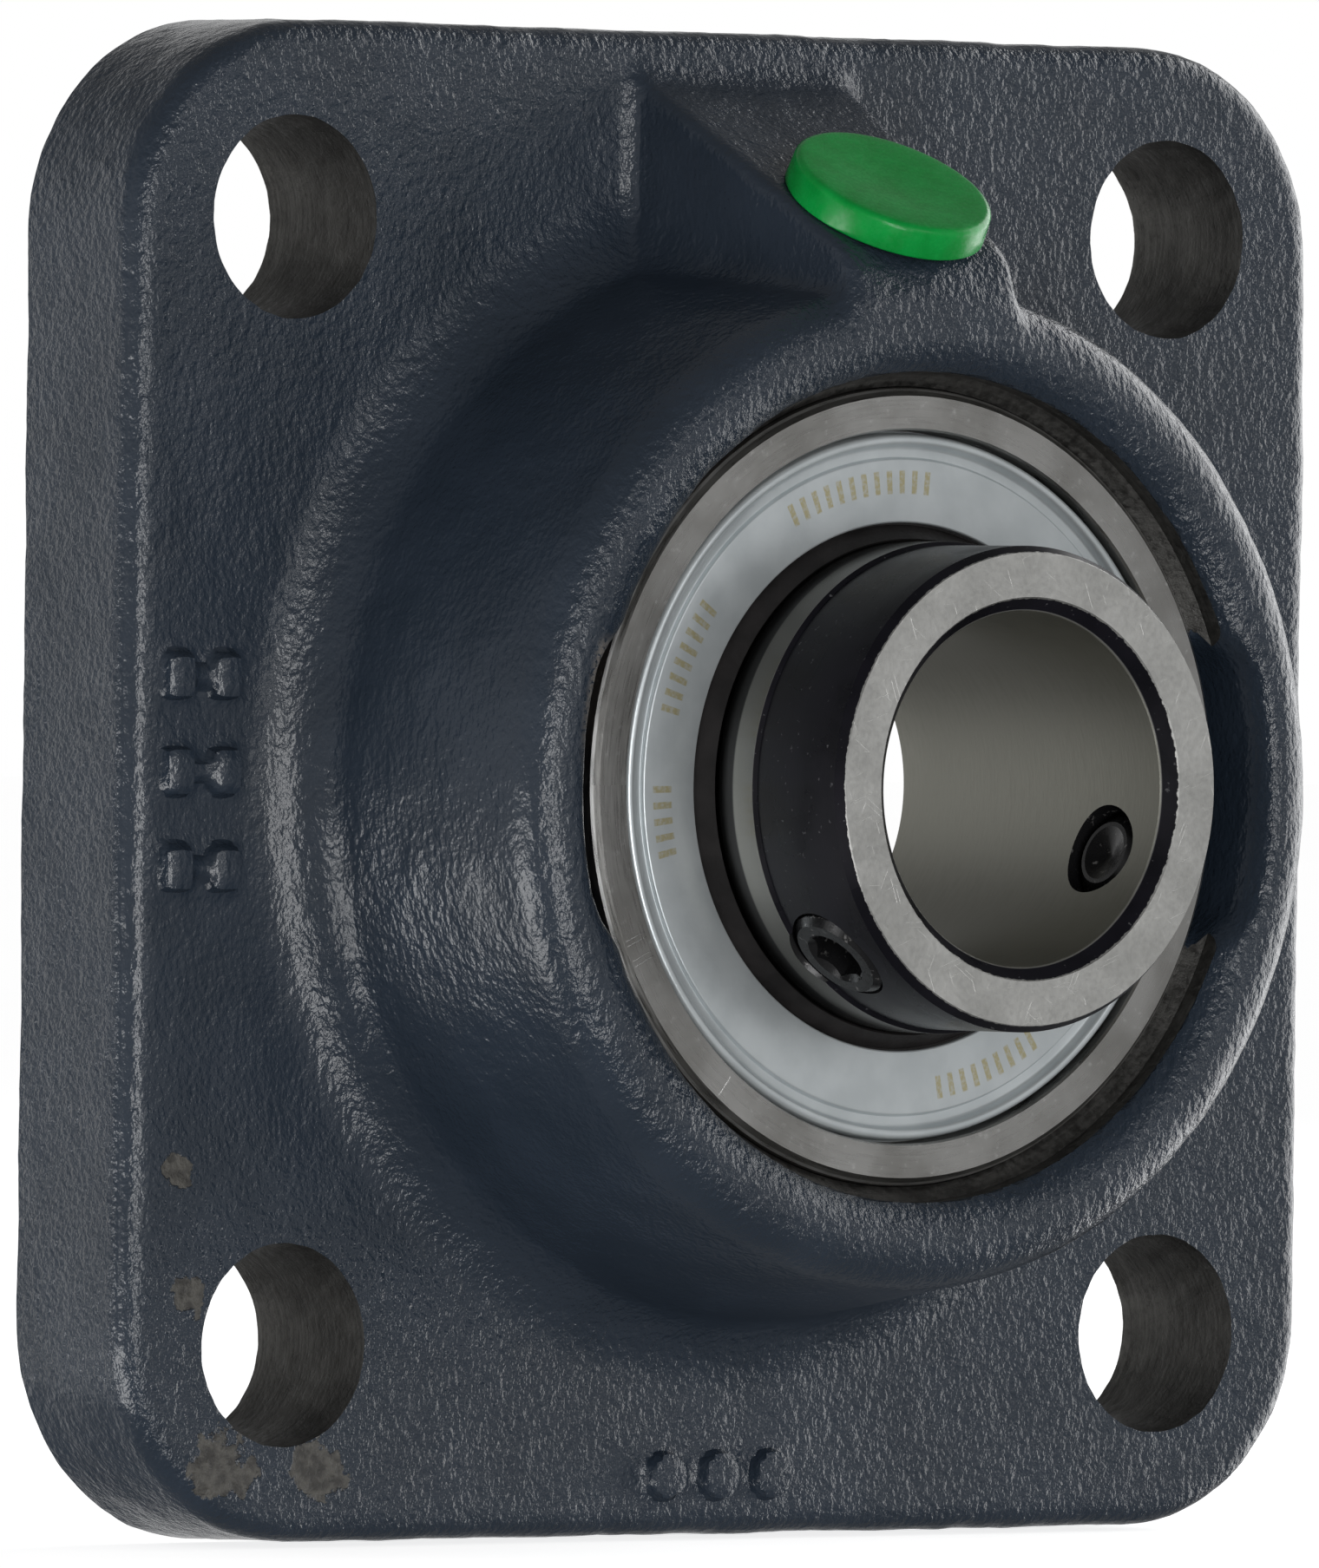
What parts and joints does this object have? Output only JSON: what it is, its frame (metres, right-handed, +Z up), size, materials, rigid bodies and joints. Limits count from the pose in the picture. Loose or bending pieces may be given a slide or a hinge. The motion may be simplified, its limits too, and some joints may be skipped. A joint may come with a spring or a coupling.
{
  "type": "flange mount bearing",
  "caption": "Square flanged housing with a spherical seat, a self-aligning sealed ball bearing insert, grub screws to grip the shaft and a plugged grease port.",
  "frame": {"origin": "on the shaft axis, in the plane of the mounting face", "axes": "+Z up, +X to the right as seen from the front, the bearing faces -Y and the mounting face looks along +Y"},
  "size_m": [0.086, 0.0371, 0.086],
  "materials": {
    "housing_paint": "dark blue-grey semi-gloss paint over sand-cast iron",
    "plug_plastic": "green moulded plastic",
    "bearing_steel": "ground bearing steel",
    "inner_ring_steel": "ground bearing steel with a blackened collar",
    "washer_zinc": "zinc coated sheet steel",
    "seal_rubber": "nitrile rubber",
    "cage_polyamide": "glass filled polyamide",
    "ball_steel": "polished",
    "screw_steel": "black oxide"
  },
  "bodies": {
    "housing": {"housing": "housing_paint"},
    "grease_plug": {"grease_plug": "plug_plastic"},
    "outer_ring": {"outer_ring": "bearing_steel", "front_seal_outer_washer": "washer_zinc", "front_seal_lip": "seal_rubber", "front_seal_inner_washer": "washer_zinc", "rear_seal_outer_washer": "washer_zinc", "rear_seal_lip": "seal_rubber", "rear_seal_inner_washer": "washer_zinc"},
    "inner_ring": {"inner_ring": "inner_ring_steel"},
    "cage": {"cage": "cage_polyamide"},
    "ball_1": {"ball_1": "ball_steel"},
    "ball_2": {"ball_2": "ball_steel"},
    "ball_3": {"ball_3": "ball_steel"},
    "ball_4": {"ball_4": "ball_steel"},
    "ball_5": {"ball_5": "ball_steel"},
    "ball_6": {"ball_6": "ball_steel"},
    "ball_7": {"ball_7": "ball_steel"},
    "ball_8": {"ball_8": "ball_steel"},
    "set_screw_1": {"set_screw_1": "screw_steel"},
    "set_screw_2": {"set_screw_2": "screw_steel"}
  },
  "joints": [
    {"name": "insert_align", "type": "hinge", "parent": "housing", "child": "outer_ring", "pos_m": [0, -0.0191, 0], "axis": [1, 0, 0], "range_deg": [-5, 5]},
    {"name": "shaft_spin", "type": "hinge", "parent": "outer_ring", "child": "inner_ring", "pos_m": [0, -0.0191, 0], "axis": [0, 1, 0], "continuous": true},
    {"name": "cage_spin", "type": "hinge", "parent": "outer_ring", "child": "cage", "pos_m": [0, -0.0191, 0], "axis": [0, 1, 0], "continuous": true},
    {"name": "grease_plug_pull", "type": "slide", "parent": "housing", "child": "grease_plug", "axis": [0, -0.5, 0.866], "range_m": [0, 0.012]},
    {"name": "set_screw_1_travel", "type": "slide", "parent": "inner_ring", "child": "set_screw_1", "axis": [-0.7133, 0, -0.7009], "range_m": [-0.00025, 0.003]},
    {"name": "set_screw_2_travel", "type": "slide", "parent": "inner_ring", "child": "set_screw_2", "axis": [0.9367, 0, -0.3502], "range_m": [-0.00025, 0.003]},
    {"name": "ball_1_spin", "type": "hinge", "parent": "cage", "child": "ball_1", "pos_m": [0.01665, -0.0191, 0], "axis": [0, 1, 0], "continuous": true},
    {"name": "ball_2_spin", "type": "hinge", "parent": "cage", "child": "ball_2", "pos_m": [0.01177, -0.0191, 0.01177], "axis": [0, 1, 0], "continuous": true},
    {"name": "ball_3_spin", "type": "hinge", "parent": "cage", "child": "ball_3", "pos_m": [0, -0.0191, 0.01665], "axis": [0, 1, 0], "continuous": true},
    {"name": "ball_4_spin", "type": "hinge", "parent": "cage", "child": "ball_4", "pos_m": [-0.01177, -0.0191, 0.01177], "axis": [0, 1, 0], "continuous": true},
    {"name": "ball_5_spin", "type": "hinge", "parent": "cage", "child": "ball_5", "pos_m": [-0.01665, -0.0191, 0], "axis": [0, 1, 0], "continuous": true},
    {"name": "ball_6_spin", "type": "hinge", "parent": "cage", "child": "ball_6", "pos_m": [-0.01177, -0.0191, -0.01177], "axis": [0, 1, 0], "continuous": true},
    {"name": "ball_7_spin", "type": "hinge", "parent": "cage", "child": "ball_7", "pos_m": [0, -0.0191, -0.01665], "axis": [0, 1, 0], "continuous": true},
    {"name": "ball_8_spin", "type": "hinge", "parent": "cage", "child": "ball_8", "pos_m": [0.01177, -0.0191, -0.01177], "axis": [0, 1, 0], "continuous": true}
  ],
  "couplings": [
    {"joint": "cage_spin", "follows": "shaft_spin", "ratio": 0.38081},
    {"joint": "ball_1_spin", "follows": "shaft_spin", "ratio": -1.9783},
    {"joint": "ball_2_spin", "follows": "shaft_spin", "ratio": -1.9783},
    {"joint": "ball_3_spin", "follows": "shaft_spin", "ratio": -1.9783},
    {"joint": "ball_4_spin", "follows": "shaft_spin", "ratio": -1.9783},
    {"joint": "ball_5_spin", "follows": "shaft_spin", "ratio": -1.9783},
    {"joint": "ball_6_spin", "follows": "shaft_spin", "ratio": -1.9783},
    {"joint": "ball_7_spin", "follows": "shaft_spin", "ratio": -1.9783},
    {"joint": "ball_8_spin", "follows": "shaft_spin", "ratio": -1.9783}
  ]
}
